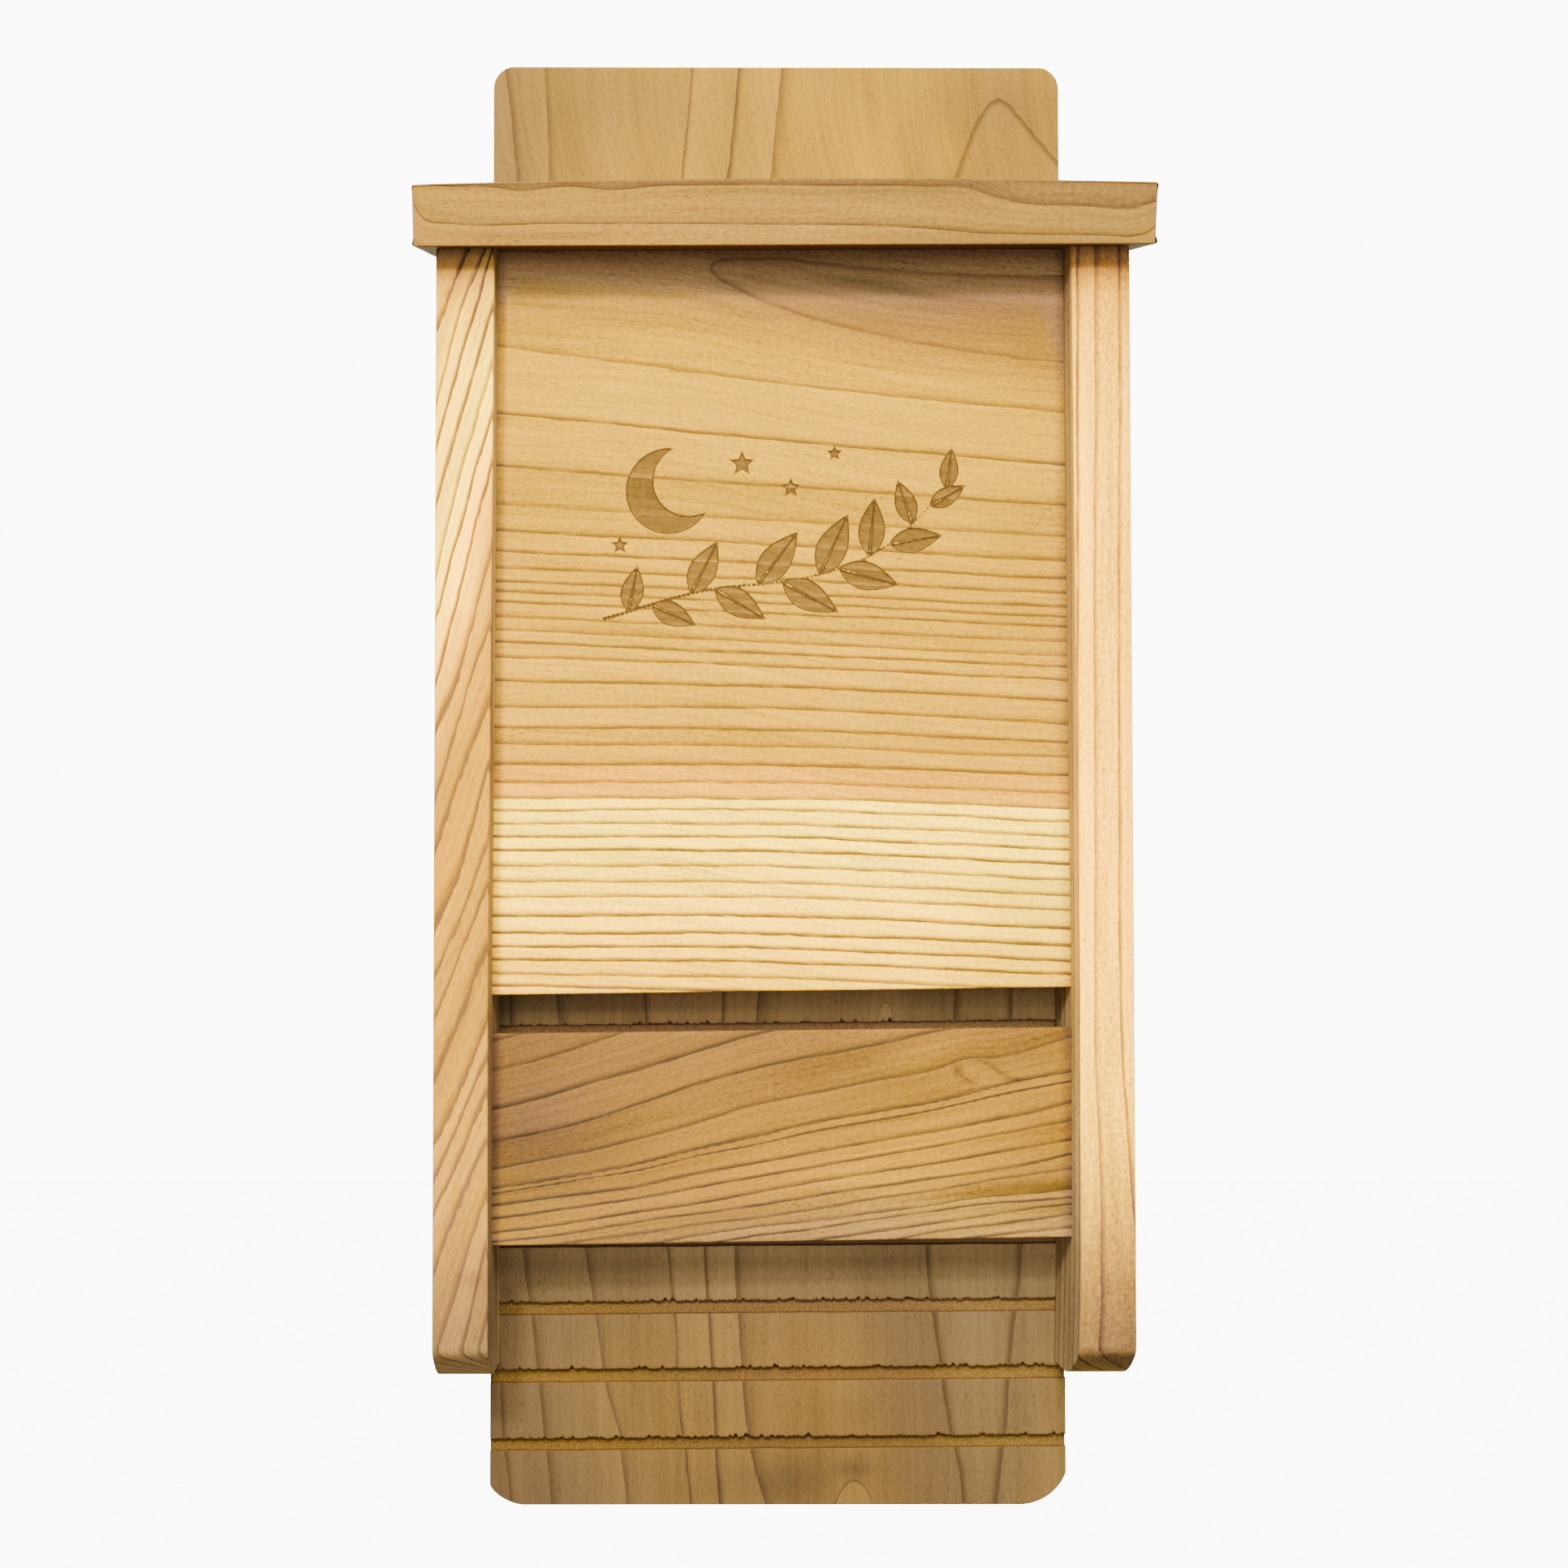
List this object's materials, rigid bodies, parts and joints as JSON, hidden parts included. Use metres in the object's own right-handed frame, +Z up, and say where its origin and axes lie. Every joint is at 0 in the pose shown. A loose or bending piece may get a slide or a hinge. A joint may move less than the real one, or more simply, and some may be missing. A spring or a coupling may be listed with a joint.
{
  "type": "bat box",
  "caption": "Wall-hung wooden bat box: a kerfed back board that extends above and below, side boards, a front split by a vent slot, and a sloping roof.",
  "frame": {"origin": "centre of the back board's rear face, which lies against the wall", "axes": "+Z up along the back board, +Y out of the back into the wall, +X to the right seen from the front"},
  "size_m": [0.293, 0.0958, 0.6096],
  "materials": {
    "cedar_back": "planed, unfinished",
    "cedar_left_side": "planed, unfinished",
    "cedar_right_side": "planed, unfinished",
    "cedar_upper_panel": "planed, unfinished",
    "cedar_lower_panel": "planed, unfinished",
    "cedar_roof": "planed, unfinished",
    "screw_steel": "satin"
  },
  "bodies": {
    "root": {"back_board": "cedar_back", "left_side_board": "cedar_left_side", "right_side_board": "cedar_right_side", "upper_front_panel": "cedar_upper_panel", "lower_front_panel": "cedar_lower_panel", "roof_board": "cedar_roof", "left_back_screws": "screw_steel", "left_upper_panel_screws": "screw_steel", "left_lower_panel_screws": "screw_steel", "left_roof_screws": "screw_steel", "right_back_screws": "screw_steel", "right_upper_panel_screws": "screw_steel", "right_lower_panel_screws": "screw_steel", "right_roof_screws": "screw_steel"}
  },
  "joints": []
}
